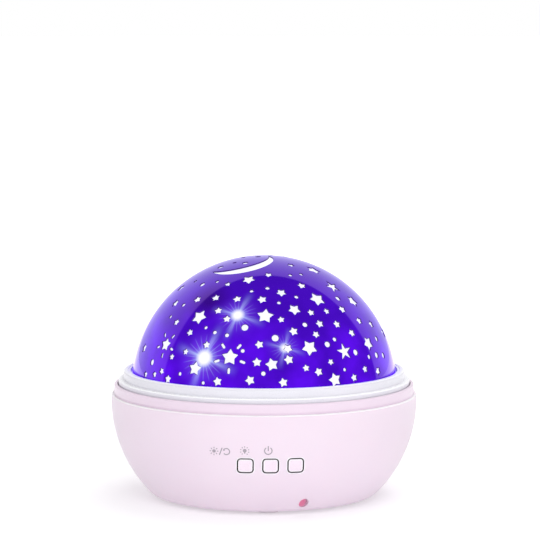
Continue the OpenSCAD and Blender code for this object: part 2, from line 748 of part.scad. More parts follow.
// Windows of the front half: turn from the front (+ is right), height angle, width.
// The back half repeats them, turned by 180 degrees.
large_stars = [[-1, 42, 6.2], [36, 50, 6.4], [21, 26, 6], [-41, 40, 6.2], [17, 45, 4.8], [-16, 64, 5],
    [66, 69, 5.8], [-35, 16, 5.2], [32, 11, 5.2], [2, 19, 4.8], [68, 46, 5.4], [59, 25, 5.6]];
rayed_stars = [[-18, 22, 6.2], [-57, 25, 5.2]];
spiky_stars = [[40, 23, 6.8], [60, 56, 6.8], [85, 27, 5.4]];
small_stars = [[3, 68, 3], [30, 59, 3.4], [51, 43, 3.4], [38, 43, 2.6], [27, 43, 2.8], [11, 55, 3.8],
    [-3, 51, 3.6], [-20, 51, 3.2], [-36, 51, 3.2], [-50, 49, 3.2], [-30, 44, 3], [-23, 40, 3],
    [8, 40, 2.6], [14, 34, 3.4], [30, 37, 3.2], [41, 36, 3.2], [26, 32, 2.8], [49, 31, 3.2],
    [60, 36, 3.2], [71, 33, 3.2], [10, 26, 3.4], [10, 21, 3.6], [-5, 20, 3.4], [-4, 28, 3.2],
    [-31, 27, 2.8], [-42, 23, 2.4], [-50, 20, 2.4], [-43, 32, 2.8], [-56, 36, 2.8], [-69, 45, 3.4],
    [-77, 21, 3.6], [-55, 13, 2.6], [-60, 11, 2.4], [-68, 10, 2.6], [-50, 10, 3.2], [-23, 11, 3.4],
    [-8, 12, 3.6], [7, 11, 3.4], [18, 17, 2.6], [24, 15, 3.2], [31, 19, 2.4], [43, 11, 3], [51, 14, 2.8],
    [61, 12, 3.2], [-33, 60, 2.4], [-83, 53, 3.6], [42, 76, 2.8]];
dots = [[-12, 36, 2.6], [4, 31, 2.6], [31, 27, 2.2], [47, 22, 2.2], [-12, 25, 1.4], [-34, 35, 1.2],
    [-28, 33, 1.4], [-21, 32, 1.5], [-59, 45, 1.5], [-64, 38, 1.3], [-64, 16, 2.2], [-43, 13, 1.3],
    [-30, 10, 1.2], [-2, 15, 1.6], [38, 15, 1.2], [36, 29, 1.5], [21, 37, 1.8], [69, 26, 2], [56, 19, 1.6],
    [63, 19, 2.2], [70, 18, 2.2], [-11, 56, 1.3], [1, 58, 1.5], [8, 49, 1.3], [21, 52, 1.4], [26, 67, 1.4],
    [39, 67, 1.4], [-45, 61, 1.3], [-58, 58, 2], [-72, 59, 1.3], [54, 49, 2], [-68, 72, 2.2], [-59, 78, 1.3],
    [-37, 79, 2.1], [-41, 90, 1.9], [-87, 85, 1.5]];
pattern_turn = 0.945;   // share of its listed turn at which a window stands
pattern_start = -0.9;   // turn of the pattern's middle
pattern_rise = 0.953;   // share of its listed height at which a window stands
fat = 0.57;             // a star's inner radius as a share of its outer one
thin = 0.36;
tip = 0.54;             // a star's outer radius as a share of its listed width
moon_at = [-9, -7.5];
moon_r = 12.3;
moon_shift = [-1.7, 4.5];

// Puts a flat shape on the dome, its Y axis pointing up the dome, and pushes it through the skin
module window(turn, height) {
    rotate([0, 0, pattern_turn * turn + pattern_start]) translate([0, 0, dome_z])
        rotate([-pattern_rise * height, 0, 0]) translate([0, -dome_r + 4, 0]) rotate([90, 0, 0])
            linear_extrude(8) children();
}

module star_shape(w, tilt, waist = fat) {
    polygon([for (i = [0 : 9]) let (r = w * tip * (i % 2 == 0 ? 1 : waist), a = 90 + tilt + 36 * i)
        r * [cos(a), sin(a)]]);
}

// Five short strokes round a star, one between each two of its points
module rays(w) {
    for (i = [0 : 4]) rotate(126 + 72 * i) translate([w * 0.88, 0]) stroke(w * 0.36, w * 0.15);
}

module stroke(len, w) {
    square([len - w, w], center = true);
    for (x = [-1, 1]) translate([x * (len - w) / 2, 0]) circle(w / 2, $fn = 16);
}

module windows() {
    for (s = large_stars) window(s[0], s[1]) star_shape(s[2], s[0] * 7 % 30);
    for (s = small_stars) window(s[0], s[1]) star_shape(s[2], s[1] * 11 % 36);
    for (s = spiky_stars) window(s[0], s[1]) star_shape(s[2], s[0] % 12, thin);
    for (s = rayed_stars) window(s[0], s[1]) {
        star_shape(s[2], 0);
        rays(s[2]);
    }
    for (d = dots) window(d[0], d[1]) circle(d[2] / 2);
}

module moon() {
    translate([moon_at[0], moon_at[1], dome_z]) linear_extrude(big) difference() {
        circle(moon_r);
        translate(moon_shift) circle(moon_r + 0.3);
    }
}

module star_skin() {
    color([0.3, 0.1, 0.75]) difference() {
        intersection() {
            translate([0, 0, dome_z]) sphere(dome_r);
            translate([0, 0, table_top + rebate_h]) cylinder(h = big, r = big);
        }
        translate([0, 0, dome_z]) sphere(dome_r - skin_t);
        windows();
        rotate([0, 0, 180]) windows();
        moon();
    }
}

// ---- the buttons ----

module button(i) {
    color(pink) union() {
        intersection() {
            bowl_body(-0.2, underside_z, rim_z);
            button_prism(i * button_pitch, button_w, button_tall, button_corner, -big, -guide_y);
        }
        button_prism(i * button_pitch, button_w + 2 * flange_lip, button_tall + 2 * flange_lip, button_corner,
            -guide_y + touch, -guide_y + touch + button_flange);
        button_prism(i * button_pitch, button_w, button_tall, button_corner, -guide_y - 1, -guide_y + 0.1);
    }
}

module plunger(i) {
    back = -guide_y + touch + button_flange;
    color([0.1, 0.1, 0.1]) translate([i * button_pitch, back, button_z]) rotate([-90, 0, 0])
        cylinder(h = -board_y - switch_back - button_travel - back, r = switch_r);
}

module button_left() { button(-1); }
module button_middle() { button(0); }
module button_right() { button(1); }
module plunger_left() { plunger(-1); }
module plunger_middle() { plunger(0); }
module plunger_right() { plunger(1); }

// ---- the battery door ----

// The rear edge is round and turns on a pin at each end; a finger clips in at the front
module battery_door() {
    color(pink) difference() {
        union() {
            translate([-door_len / 2, 0, 0]) rotate([90, 0, 90]) linear_extrude(door_len) {
                translate([-door_w / 2, underside_z]) square([hinge_y + door_w / 2, door_t]);
                translate([hinge_y, hinge_z]) circle(door_t / 2);
            }
            translate([-door_len / 2 - door_gap - pin_len, hinge_y, hinge_z]) rotate([0, 90, 0])
                cylinder(h = door_len + 2 * (door_gap + pin_len), r = pin_r);
            block(-clip_w / 2, clip_w / 2, -bay_w / 2 + clip_gap, -bay_w / 2 + clip_gap + clip_t, underside_z,
                floor_z + clip_h);
        }
        // finger notch
        translate([0, -door_w / 2 + 3, underside_z + notch_deep - notch_r]) sphere(notch_r);
    }
}

bowl_shell();
top_frame();
lamp_post();
thrust_washer();
post_cap();
led_board();
leds();
gear_motor();
motor_screws();
post_screws();
control_board();
board_parts();
board_screws();
tact_switches();
dc_jack();
batteries();
battery_contacts();
battery_springs();
wiring();
case_screws();
rubber_feet();
turntable();
ring_gear();
gear_screws();
drive_pinion();
motor_shaft();
dome_collar();
dome_cover();
star_skin();
button_left();
button_middle();
button_right();
plunger_left();
plunger_middle();
plunger_right();
battery_door();
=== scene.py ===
"""Star night light projector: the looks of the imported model, piece by piece, in metres.

A pink moulded bowl carries a white dish on a slow motor, and the dish carries a violet
mirrored dome with star windows that the lamps inside light up.
"""
import math

import bmesh
import bpy
from mathutils import Matrix, Vector


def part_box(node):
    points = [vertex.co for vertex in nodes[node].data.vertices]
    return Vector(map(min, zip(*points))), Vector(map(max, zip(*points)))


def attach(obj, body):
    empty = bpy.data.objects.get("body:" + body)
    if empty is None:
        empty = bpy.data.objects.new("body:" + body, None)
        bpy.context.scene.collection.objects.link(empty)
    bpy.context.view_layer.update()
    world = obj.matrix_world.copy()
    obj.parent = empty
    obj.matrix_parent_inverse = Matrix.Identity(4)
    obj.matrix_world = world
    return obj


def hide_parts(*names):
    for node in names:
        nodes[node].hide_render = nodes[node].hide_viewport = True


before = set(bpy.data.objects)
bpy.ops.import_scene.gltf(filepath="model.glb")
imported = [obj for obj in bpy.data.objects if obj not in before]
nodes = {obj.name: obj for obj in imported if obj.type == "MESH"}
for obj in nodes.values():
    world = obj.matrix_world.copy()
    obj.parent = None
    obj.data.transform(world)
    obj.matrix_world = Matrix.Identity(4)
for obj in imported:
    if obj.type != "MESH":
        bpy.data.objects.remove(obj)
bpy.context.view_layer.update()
MM = 0.001

# ---- Camera ----
# The photograph is taken from a little above the table, nearly square to the three buttons.
# The axis stands a little left of the picture's middle, and the object sits low in the frame.
camera_far = 1.2
camera_turn = math.radians(-2.5)
camera_rise = math.radians(8.5)
aim = Vector((0, 0, 45 * MM))
toward_camera = Vector((math.sin(camera_turn) * math.cos(camera_rise),
                        -math.cos(camera_turn) * math.cos(camera_rise), math.sin(camera_rise)))
bpy.ops.object.select_all(action="DESELECT")
bpy.ops.object.camera_add(location=aim + camera_far * toward_camera,
                          rotation=toward_camera.to_track_quat("Z", "Y").to_euler())
camera = bpy.context.object
camera.data.lens = 196.8
camera.data.shift_x = 0.0111
camera.data.shift_y = 0.213
camera.data.clip_end = 20
bpy.context.scene.camera = camera

# ---- Finishes ----
# Short functions build every material from noise, ranges and blends of colour.


def new_finish(name):
    """An empty material with its shader, and a node tree to work in."""
    finish = bpy.data.materials.new(name)
    finish.use_nodes = True
    tree = finish.node_tree
    return finish, tree, tree.nodes["Principled BSDF"]


def shader_of(finish):
    return finish.node_tree.nodes["Principled BSDF"]


def place(tree):
    """Object coordinates, so that a pattern stays on its piece."""
    coords = tree.nodes.new("ShaderNodeTexCoord")
    return coords.outputs["Object"]


def cloud(tree, size, detail=2.0, rough=0.5):
    """Noise whose lumps are about this size, in metres."""
    noise = tree.nodes.new("ShaderNodeTexNoise")
    noise.inputs["Scale"].default_value = 1 / size
    noise.inputs["Detail"].default_value = detail
    noise.inputs["Roughness"].default_value = rough
    tree.links.new(place(tree), noise.inputs["Vector"])
    return noise.outputs["Fac"]


def spread(tree, value, low, high, start=0.3, stop=0.7):
    """A value carried from its own range to a new one."""
    band = tree.nodes.new("ShaderNodeMapRange")
    band.inputs["From Min"].default_value = start
    band.inputs["From Max"].default_value = stop
    band.inputs["To Min"].default_value = low
    band.inputs["To Max"].default_value = high
    tree.links.new(value, band.inputs["Value"])
    return band.outputs["Result"]


def blend_colours(tree, value, first, second):
    """A colour between two, chosen by a value from 0 to 1."""
    mix = tree.nodes.new("ShaderNodeMix")
    mix.data_type = "RGBA"
    tree.links.new(value, mix.inputs["Factor"])
    for socket, colour in (("A", first), ("B", second)):
        here = [s for s in mix.inputs if s.name == socket and s.type == "RGBA"][0]
        if isinstance(colour, bpy.types.NodeSocket):
            tree.links.new(colour, here)
        else:
            here.default_value = (*colour, 1)
    return [s for s in mix.outputs if s.type == "RGBA"][0]


def relief(tree, shader, value, depth):
    """Fine bumps of this depth, in metres."""
    bump = tree.nodes.new("ShaderNodeBump")
    bump.inputs["Strength"].default_value = 1
    bump.inputs["Distance"].default_value = depth
    tree.links.new(value, bump.inputs["Height"])
    tree.links.new(bump.outputs["Normal"], shader.inputs["Normal"])


def sum_of(tree, first, second, operation="ADD"):
    """Two values or sockets put through one sum."""
    node = tree.nodes.new("ShaderNodeMath")
    node.operation = operation
    for socket, value in zip(node.inputs, (first, second)):
        if isinstance(value, bpy.types.NodeSocket):
            tree.links.new(value, socket)
        else:
            socket.default_value = value
    return node.outputs[0]


def moulded_plastic(name, colour, shade, rough, grain=0.0004, depth=0.000004, coat=0.0):
    """Moulded plastic: faint clouds of shade from the flow of the melt, over a fine texture."""
    finish, tree, shader = new_finish(name)
    tone = spread(tree, cloud(tree, 0.03, 3), 0, 1)
    tree.links.new(blend_colours(tree, tone, colour, shade), shader.inputs["Base Color"])
    fine = cloud(tree, grain, 2)
    tree.links.new(spread(tree, fine, rough - 0.05, rough + 0.05), shader.inputs["Roughness"])
    shader.inputs["Coat Weight"].default_value = coat
    shader.inputs["Coat Roughness"].default_value = 0.08
    relief(tree, shader, fine, depth)
    return finish


def painted_light_band(finish, low, high, colour):
    """Paints another colour between two heights of a finish: a painted highlight along a rounded edge, and
    painted shade at a foot.
    """
    tree = finish.node_tree
    blur = 0.06 * MM
    level = tree.nodes.new("ShaderNodeSeparateXYZ")
    tree.links.new(place(tree), level.inputs[0])
    above = spread(tree, level.outputs["Z"], 0, 1, low - blur, low + blur)
    below = spread(tree, level.outputs["Z"], 1, 0, high - blur, high + blur)
    socket = shader_of(finish).inputs["Base Color"]
    was = socket.links[0].from_socket
    there = sum_of(tree, above, below, "MULTIPLY")
    tree.links.new(blend_colours(tree, there, was, colour), socket)


def dress(finish, slot, *names):
    """Gives CAD nodes one finish. The slot, the record's slot that it stands for, is not used."""
    for name in names:
        piece = nodes[name]
        piece.data.materials.clear()
        piece.data.materials.append(finish)


# ---- Bowl ----
# The bowl is one injection moulding in pale pink, satin outside with a very fine texture.
# Its side curves in to a flat underside that holds the battery bay, and its rim has a painted highlight, a
# pale line along its top edge.
bowl_rim = 42.2 * MM
pink_satin = moulded_plastic("pink_satin", (0.865, 0.74, 0.84), (0.85, 0.725, 0.83), 0.38)
# painted highlight: a pale line along the rim's rounded top edge
painted_light_band(pink_satin, bowl_rim - 0.45 * MM, bowl_rim + 0.8 * MM, (0.97, 0.93, 0.97))
shader = shader_of(pink_satin)
shader.inputs["Subsurface Weight"].default_value = 0.12
shader.inputs["Subsurface Radius"].default_value = (1, 0.6, 0.7)
shader.inputs["Subsurface Scale"].default_value = 1.5 * MM
dress(pink_satin, "pink_plastic", "bowl_shell")

# ---- Feet ----
# Four soft round feet are pressed into seats in the underside and carry the light.
# They are pale pink rubber with a dull, slightly worn face.
foot_rubber = moulded_plastic("foot_rubber", (0.84, 0.8, 0.83), (0.74, 0.7, 0.73), 0.75, 0.0008, 0.00002)
dress(foot_rubber, "foot_rubber", "rubber_feet")

# ---- Battery door ----
# The door is moulded with the bowl's plastic, turns on two pins and clips in at the front.
# It is a little glossier than the bowl, because nobody sees it.
door_pink = moulded_plastic("door_pink", (0.89, 0.75, 0.86), (0.87, 0.73, 0.845), 0.3)
dress(door_pink, "pink_plastic", "battery_door")

# ---- Cells ----
# Four AAA cells in shrunk jackets lie in the bay, every other one turned round.
# Each jacket is graphite with a brass band at each end, and carries no words.
cell_jacket, tree, shader = new_finish("cell_jacket")
along = tree.nodes.new("ShaderNodeSeparateXYZ")
tree.links.new(place(tree), along.inputs[0])
from_middle = sum_of(tree, along.outputs["X"], 0, "ABSOLUTE")
band_start = spread(tree, from_middle, 0, 1, 12.9 * MM, 13.1 * MM)
wear = spread(tree, cloud(tree, 0.004, 4), 0.0, 1.0)
graphite = blend_colours(tree, wear, (0.05, 0.055, 0.065), (0.075, 0.08, 0.095))
tree.links.new(blend_colours(tree, band_start, graphite, (0.62, 0.42, 0.16)), shader.inputs["Base Color"])
tree.links.new(spread(tree, wear, 0.22, 0.36, 0, 1), shader.inputs["Roughness"])
shader.inputs["Metallic"].default_value = 0.35
dress(cell_jacket, "cell_jacket", "batteries")


def plated_metal(name, colour, rough, grain=0.0006):
    """Plated steel: dull and bright patches, with fine drawn marks."""
    finish, tree, shader = new_finish(name)
    patch = spread(tree, cloud(tree, 0.005, 4), 0, 1)
    darker = tuple(0.8 * c for c in colour)
    tree.links.new(blend_colours(tree, patch, colour, darker), shader.inputs["Base Color"])
    shader.inputs["Metallic"].default_value = 1
    marks = cloud(tree, grain, 3, 0.7)
    tree.links.new(spread(tree, marks, rough - 0.08, rough + 0.1), shader.inputs["Roughness"])
    relief(tree, shader, marks, 0.000004)
    return finish


# ---- Contacts, springs and screws ----
# The contact plates and springs are nickel plated, and the self-tapping screws zinc plated.
# All of them are pressed or driven into the mouldings.
nickel = plated_metal("nickel", (0.72, 0.71, 0.69), 0.28)
zinc = plated_metal("zinc", (0.6, 0.6, 0.62), 0.36)
dress(nickel, "steel", "battery_contacts", "battery_springs", "motor_shaft", "thrust_washer")
dress(zinc, "screw_steel", "case_screws", "board_screws", "motor_screws", "post_screws", "gear_screws")

# ---- Power inlet ----
# A round inlet is sunk in the lower edge of the bowl, right of the buttons.
# Its liner is a stronger pink than the bowl, with a pin in its middle.
inlet_liner = moulded_plastic("inlet_liner", (0.78, 0.33, 0.5), (0.66, 0.24, 0.4), 0.4)
# painted glow: the liner gives off a little light of its own, standing in for light scattered inside the
# soft liner, so that the hole doesn't go black
shader = shader_of(inlet_liner)
shader.inputs["Emission Color"].default_value = (0.85, 0.42, 0.6, 1)
shader.inputs["Emission Strength"].default_value = 0.28
dress(inlet_liner, "inlet_plastic", "dc_jack")

# ---- Control board ----
# A green board stands on two posts behind the buttons, with a chip, two plugs and a capacitor.
# Three click switches stand on its front, one behind each button.
solder_mask, tree, shader = new_finish("solder_mask")
coarse = cloud(tree, 0.0035, 0)
tracks = tree.nodes.new("ShaderNodeTexBrick")
tracks.inputs["Scale"].default_value = 170
tracks.inputs["Mortar Size"].default_value = 0.03
tree.links.new(place(tree), tracks.inputs["Vector"])
track_shade = spread(tree, tracks.outputs["Fac"], 0, 1, 0, 1)
mask_green = blend_colours(tree, track_shade, (0.02, 0.19, 0.08), (0.05, 0.3, 0.13))
tree.links.new(mask_green, shader.inputs["Base Color"])
tree.links.new(spread(tree, coarse, 0.25, 0.4), shader.inputs["Roughness"])
relief(tree, shader, tracks.outputs["Fac"], 0.00002)
dress(solder_mask, "green_board", "control_board")
black_moulding = moulded_plastic("black_moulding", (0.02, 0.02, 0.022), (0.035, 0.035, 0.038), 0.45)
dress(black_moulding, "black_plastic", "board_parts", "tact_switches", "plunger_left",
      "plunger_middle", "plunger_right")

# ---- Wiring ----
# Three leads run from the board: to the battery bay, up the post to the lamps, and to the motor.
# Their jackets are soft plastic in red, white and blue.
jacket_red = moulded_plastic("jacket_red", (0.6, 0.04, 0.03), (0.48, 0.03, 0.03), 0.35)
jacket_white = moulded_plastic("jacket_white", (0.7, 0.7, 0.72), (0.6, 0.6, 0.63), 0.35)
jacket_blue = moulded_plastic("jacket_blue", (0.03, 0.07, 0.5), (0.02, 0.05, 0.38), 0.35)
dress(jacket_red, "wire_jacket", "wiring")
leads = nodes["wiring"].data
leads.materials.append(jacket_white)
leads.materials.append(jacket_blue)
red_lead_right = -10 * MM
for polygon in leads.polygons:
    x, y, z = polygon.center
    if x > red_lead_right:
        # the motor's lead stays right of a slanting line, and goes farther back than the lamps' lead
        to_motor = y > 5 * MM or x + 0.14 * y > 6.5 * MM
        polygon.material_index = 2 if to_motor else 1

# ---- Buttons ----
# Three square caps stand just proud of the bowl in close-fitting holes and follow its curve.
# Each is moulded in pink with rounded corners; its front edge carries a painted white highlight, and the
# faces deep in its hole a near-black painted shade.
side_curve = 54 * MM
side_curve_top = 40 * MM
bowl_radius_top = 62 * MM


def bowl_side(z):
    """Radius of the bowl's outside at a height."""
    rise = side_curve_top - z
    return bowl_radius_top - side_curve + math.sqrt(side_curve ** 2 - rise ** 2)


def only(finish, piece):
    """One finish for a whole new piece."""
    piece.data.materials.clear()
    piece.data.materials.append(finish)


def smooth_faces(piece, angle=35):
    """Smooth shading, with hard edges past an angle."""
    bpy.ops.object.select_all(action="DESELECT")
    bpy.context.view_layer.objects.active = piece
    piece.select_set(True)
    bpy.ops.object.shade_smooth_by_angle(angle=math.radians(angle))
    piece.select_set(False)


def chosen_edges(piece, test):
    """In edit mode, selects the edges whose two ends pass a test."""
    mesh = bmesh.from_edit_mesh(piece.data)
    bpy.ops.mesh.select_all(action="DESELECT")
    bpy.ops.mesh.select_mode(type="EDGE")
    for edge in mesh.edges:
        edge.select_set(test(edge))
    mesh.select_flush_mode()
    bmesh.update_edit_mesh(piece.data)


def chosen_faces(piece, test):
    """In edit mode, selects the faces that pass a test."""
    mesh = bmesh.from_edit_mesh(piece.data)
    bpy.ops.mesh.select_all(action="DESELECT")
    bpy.ops.mesh.select_mode(type="FACE")
    for face in mesh.faces:
        face.select_set(test(face))
    mesh.select_flush_mode()
    bmesh.update_edit_mesh(piece.data)


cap_pink = moulded_plastic("cap_pink", (0.905, 0.775, 0.88), (0.89, 0.76, 0.875), 0.3)
# near-black painted shade for the faces deep in each button hole
gap_painted_shade = moulded_plastic("gap_painted_shade", (0.02, 0.012, 0.02), (0.03, 0.02, 0.03), 0.6)
# painted highlight in white for each cap's front edge
cap_edge_highlight = moulded_plastic("cap_edge_highlight", (0.97, 0.94, 0.97), (0.95, 0.92, 0.96), 0.3)
cap_wide = 5.6 * MM
cap_tall = 5.3 * MM
cap_corner = 1.1 * MM
cap_edge = 0.45 * MM
button_gap = 0.5 * MM
hole_wide = cap_wide + 2 * button_gap
hole_tall = cap_tall + 2 * button_gap
hole_corner = cap_corner + button_gap
cap_proud = 0.2 * MM
flange_front = -53.15 * MM
shade_depth = 0.9 * MM
for place_name in ("left", "middle", "right"):
    low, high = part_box("button_" + place_name)
    middle_x = (low.x + high.x) / 2
    middle_z = (low.z + high.z) / 2
    front = -bowl_side(middle_z) - cap_proud
    flange_back = high.y

    bpy.ops.mesh.primitive_cube_add(size=1, location=(middle_x, (front + flange_front) / 2, middle_z))
    cap = bpy.context.object
    cap.name = "cap_" + place_name
    cap.scale = (cap_wide, flange_front - front, cap_tall)
    bpy.ops.object.transform_apply(location=True, rotation=True, scale=True)
    bpy.ops.object.mode_set(mode="EDIT")
    chosen_edges(cap, lambda e: abs(e.verts[0].co.y - e.verts[1].co.y) > 1 * MM)
    bpy.ops.mesh.bevel(offset=cap_corner, segments=6, affect="EDGES")
    chosen_edges(cap, lambda e: all(v.co.y < front + 0.01 * MM for v in e.verts))
    bpy.ops.mesh.bevel(offset=cap_edge, segments=4, affect="EDGES")
    # the flange behind the side, drawn out of the cap's back
    chosen_faces(cap, lambda f: f.normal.y > 0.9)
    bpy.ops.mesh.extrude_region_move(TRANSFORM_OT_translate={"value": (0, 0.01 * MM, 0)})
    bpy.ops.transform.resize(value=((high.x - low.x) / cap_wide, 1, (high.z - low.z) / cap_tall),
                             center_override=(middle_x, flange_front, middle_z))
    bpy.ops.mesh.extrude_region_move(
        TRANSFORM_OT_translate={"value": (0, flange_back - flange_front - 0.01 * MM, 0)})
    # a dished face, cut into rows that can follow the bowl's curve
    chosen_faces(cap, lambda f: f.normal.y < -0.99)
    bpy.ops.mesh.inset(thickness=0.5 * MM, depth=0)
    bpy.ops.mesh.inset(thickness=0.9 * MM, depth=-0.06 * MM)
    bpy.ops.mesh.poke()
    bpy.ops.object.mode_set(mode="OBJECT")
    for vertex in cap.data.vertices:
        if vertex.co.y < front + 1.5 * MM:
            x, z = vertex.co.x, vertex.co.z
            surface = -math.sqrt(bowl_side(z) ** 2 - x ** 2)
            vertex.co.y += surface + bowl_side(middle_z)
    smooth_faces(cap, 40)
    only(cap_pink, cap)
    cap.data.materials.append(gap_painted_shade)
    cap.data.materials.append(cap_edge_highlight)
    # faces deep in the hole take the painted shade, and the front edge's bevel the painted highlight
    for polygon in cap.data.polygons:
        middle = polygon.center
        if math.hypot(middle.x, middle.y) < bowl_side(middle.z) - shade_depth:
            polygon.material_index = 1
        elif (abs(middle.x - middle_x) > cap_wide / 2 - cap_edge - 0.1 * MM
              or abs(middle.z - middle_z) > cap_tall / 2 - cap_edge - 0.1 * MM):
            polygon.material_index = 2
    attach(cap, place_name + "_button")
    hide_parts("button_" + place_name)

# ---- Printed marks ----
# Grey marks are pad-printed on the bowl above the buttons: a small sun, a stroke and a turning
# arrow on the left, a lamp with rays over the first button, a power mark over the second.
ink, tree, shader = new_finish("grey_ink")
thin = spread(tree, cloud(tree, 0.0003, 2), 0, 1)
tree.links.new(blend_colours(tree, thin, (0.36, 0.31, 0.37), (0.46, 0.4, 0.46)), shader.inputs["Base Color"])
shader.inputs["Roughness"].default_value = 0.5
ink_thick = 0.03 * MM
ink_lift = 0.005 * MM
arc_step = 0.25
marks = []


def printed(shape):
    """Keeps the newest flat shape, drawn in X and Z, as part of the next thin layer on the bowl."""
    bpy.ops.object.transform_apply(location=True, rotation=True, scale=True)
    marks.append(shape)


def disc_mark(x, z, radius):
    bpy.ops.mesh.primitive_circle_add(vertices=24, radius=radius, fill_type="NGON", location=(x, 0, z),
                                      rotation=(math.pi / 2, 0, 0))
    printed(bpy.context.object)


def bar_mark(x, z, length, width, turn):
    bpy.ops.mesh.primitive_plane_add(size=1, location=(x, 0, z), rotation=(math.pi / 2, 0, 0))
    bar = bpy.context.object
    bar.scale = (length, width, 1)
    bpy.ops.object.transform_apply(location=False, rotation=True, scale=True)
    bar.rotation_euler = (0, -turn, 0)
    printed(bar)


def rays_mark(x, z, count, radius, length, width, start=0.0, skip=()):
    for i in range(count):
        if i not in skip:
            turn = start + 2 * math.pi * i / count
            bar_mark(x + radius * math.cos(turn), z + radius * math.sin(turn), length, width, turn)


def arc_mark(x, z, radius, width, start, sweep):
    """A ring's part, swept from a short stroke."""
    bpy.ops.mesh.primitive_plane_add(size=1, location=(x + radius, 0, z), rotation=(math.pi / 2, 0, 0))
    arc = bpy.context.object
    arc.scale = (width, 0.01 * MM, 1)
    bpy.ops.object.transform_apply(location=True, rotation=True, scale=True)
    for vertex in arc.data.vertices:
        vertex.co.z = z
    bpy.ops.object.mode_set(mode="EDIT")
    bpy.ops.mesh.select_all(action="SELECT")
    bpy.ops.mesh.remove_doubles(threshold=0.001 * MM)
    bpy.ops.mesh.select_all(action="SELECT")
    bpy.ops.mesh.spin(steps=max(4, int(sweep / arc_step)), angle=sweep, center=(x, 0, z), axis=(0, 1, 0))
    bpy.ops.object.mode_set(mode="OBJECT")
    arc.data.transform(Matrix.Translation((x, 0, z)) @ Matrix.Rotation(-start, 4, "Y")
                       @ Matrix.Translation((-x, 0, -z)))
    printed(arc)


def arrow_mark(x, z, size, turn):
    bpy.ops.mesh.primitive_circle_add(vertices=3, radius=size, fill_type="NGON", location=(x, 0, z),
                                      rotation=(math.pi / 2, 0, 0))
    head = bpy.context.object
    bpy.ops.object.transform_apply(location=False, rotation=True, scale=True)
    head.rotation_euler = (0, -turn, 0)
    printed(head)


mark_z = 28.2 * MM
left_mark_z = mark_z - 0.5 * MM
line = 0.42 * MM
ray_line = 0.8 * line
sun_x = -21.9 * MM
disc_mark(sun_x, left_mark_z, 0.68 * MM)
rays_mark(sun_x, left_mark_z, 8, 1.4 * MM, 0.6 * MM, ray_line)
bar_mark(-19.3 * MM, left_mark_z, 3.1 * MM, line, math.radians(71))
arc_mark(-17.15 * MM, left_mark_z, 1.25 * MM, line, math.radians(-140), math.radians(290))
arrow_mark(-18.1 * MM, mark_z + 0.1 * MM, 0.55 * MM, math.radians(-105))
bulb_x = -10.1 * MM
disc_mark(bulb_x, mark_z + 0.1 * MM, 0.75 * MM)
bar_mark(bulb_x, mark_z - 0.75 * MM, 0.7 * MM, 0.55 * MM, math.radians(90))
rays_mark(bulb_x, mark_z, 10, 1.6 * MM, 0.5 * MM, ray_line, math.radians(90), skip=(5,))
power_x = -1 * MM
arc_mark(power_x, mark_z + 0.1 * MM, 1.45 * MM, line, math.radians(125), math.radians(290))
bar_mark(power_x, mark_z + 1.05 * MM, 2 * MM, line, math.radians(90))


def print_on_bowl(name, finish):
    """Joins the flat shapes kept so far and lays them on the bowl's side as a thin layer, for the print and
    for the painted highlight round the button holes.
    """
    bpy.ops.object.select_all(action="DESELECT")
    for mark in marks:
        mark.select_set(True)
    bpy.context.view_layer.objects.active = marks[0]
    bpy.ops.object.join()
    marks.clear()
    joined = bpy.context.object
    joined.name = name
    bpy.ops.object.mode_set(mode="EDIT")
    bpy.ops.mesh.select_all(action="SELECT")
    bpy.ops.mesh.normals_make_consistent(inside=False)
    bpy.ops.mesh.extrude_region_move(TRANSFORM_OT_translate={"value": (0, -ink_thick, 0)})
    bpy.ops.mesh.select_all(action="SELECT")
    bpy.ops.mesh.normals_make_consistent(inside=False)
    bpy.ops.object.mode_set(mode="OBJECT")
    for vertex in joined.data.vertices:
        x, y, z = vertex.co
        vertex.co.y = y - math.sqrt(bowl_side(z) ** 2 - x ** 2) - ink_lift
    only(finish, joined)
    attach(joined, "base")


print_on_bowl("print_marks", ink)

# A thin white frame round each button hole is a painted highlight, where the hole's edge would catch light;
# it is laid on the bowl like the print.
highlight_wide = 0.32 * MM
hole_edge_highlight = moulded_plastic("hole_edge_highlight", (0.97, 0.95, 0.98), (0.95, 0.93, 0.97), 0.4)
for place_name in ("left", "middle", "right"):
    low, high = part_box("button_" + place_name)
    bpy.ops.mesh.primitive_plane_add(size=1, location=((low.x + high.x) / 2, 0, (low.z + high.z) / 2),
                                     rotation=(math.pi / 2, 0, 0))
    ring = bpy.context.object
    ring.scale = (hole_wide + 2 * highlight_wide, hole_tall + 2 * highlight_wide, 1)
    bpy.ops.object.transform_apply(location=True, rotation=True, scale=True)
    bpy.ops.object.mode_set(mode="EDIT")
    bpy.ops.mesh.select_all(action="SELECT")
    bpy.ops.mesh.bevel(offset=hole_corner + highlight_wide, segments=6, affect="VERTICES")
    bpy.ops.mesh.select_all(action="SELECT")
    bpy.ops.mesh.inset(thickness=highlight_wide, depth=0)
    bpy.ops.mesh.delete(type="FACE")
    bpy.ops.mesh.select_all(action="SELECT")
    bpy.ops.mesh.subdivide(number_cuts=7)
    bpy.ops.object.mode_set(mode="OBJECT")
    printed(ring)
print_on_bowl("hole_highlight_rings", hole_edge_highlight)

# ---- Top frame ----
# A second pink moulding drops into the bowl's rim: its upstanding ring shows as a pink band, with
# painted shade at its foot, where it meets the rim. Its deck carries the lamp post and the motor.
trim_pink = moulded_plastic("trim_pink", (0.84, 0.7, 0.82), (0.83, 0.69, 0.81), 0.32)
# painted shade: a deeper pink at the ring's foot
painted_light_band(trim_pink, bowl_rim - 1.2 * MM, bowl_rim + 0.8 * MM, (0.78, 0.63, 0.76))
dress(trim_pink, "pink_trim", "top_frame")
